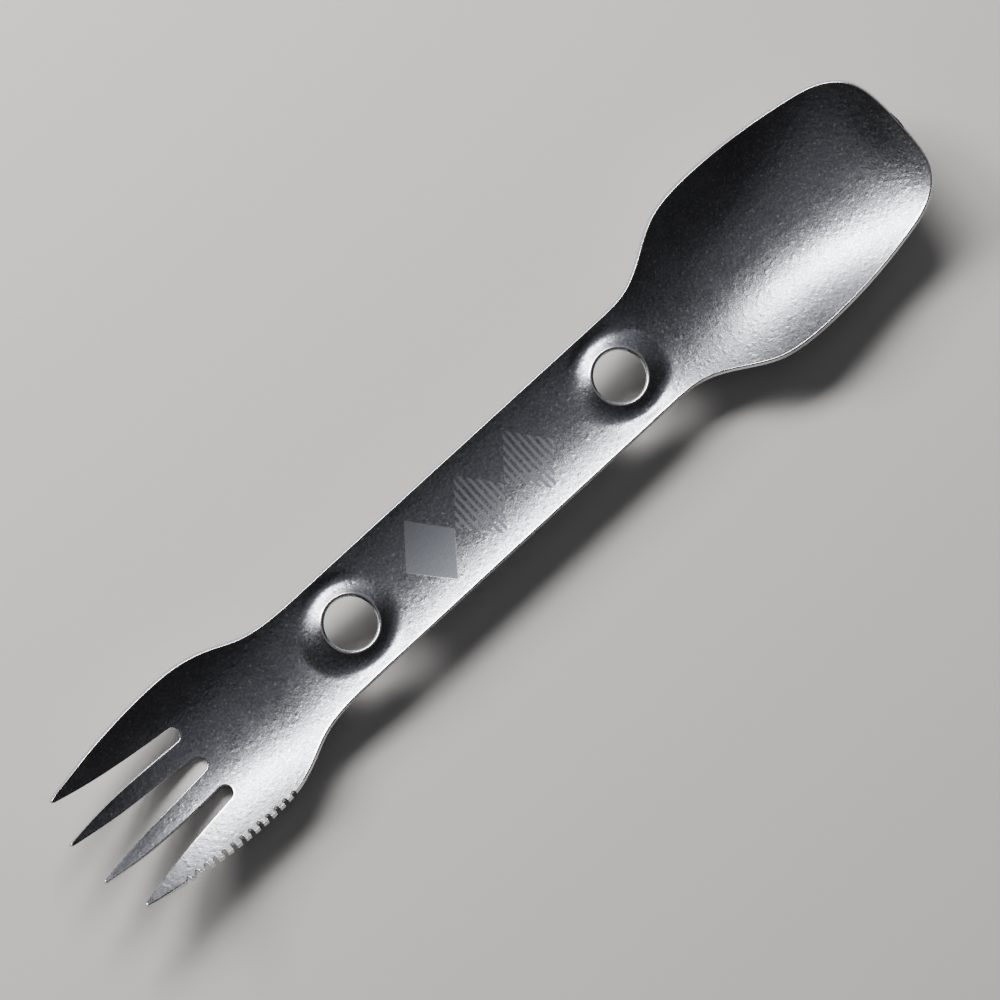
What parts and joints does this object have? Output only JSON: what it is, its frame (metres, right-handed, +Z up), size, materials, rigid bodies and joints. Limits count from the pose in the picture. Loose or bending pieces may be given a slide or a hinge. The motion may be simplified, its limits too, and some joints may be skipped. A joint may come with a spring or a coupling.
{
  "type": "picnic spork",
  "caption": "One-piece pressed titanium spork: a spoon bowl at one end, a tined fork with a serrated edge at the other, and a troughed handle with raised holes.",
  "frame": {"origin": "middle of the length and width, on the surface that the spork rests on", "axes": "+X from the fork to the spoon, +Y towards the plain edge and away from the serrated one, +Z up out of the bowl"},
  "size_m": [0.1716, 0.0326, 0.0113],
  "materials": {
    "titanium": "tumbled titanium, fine speckled grain"
  },
  "bodies": {
    "root": {"spork": "titanium"}
  },
  "joints": []
}
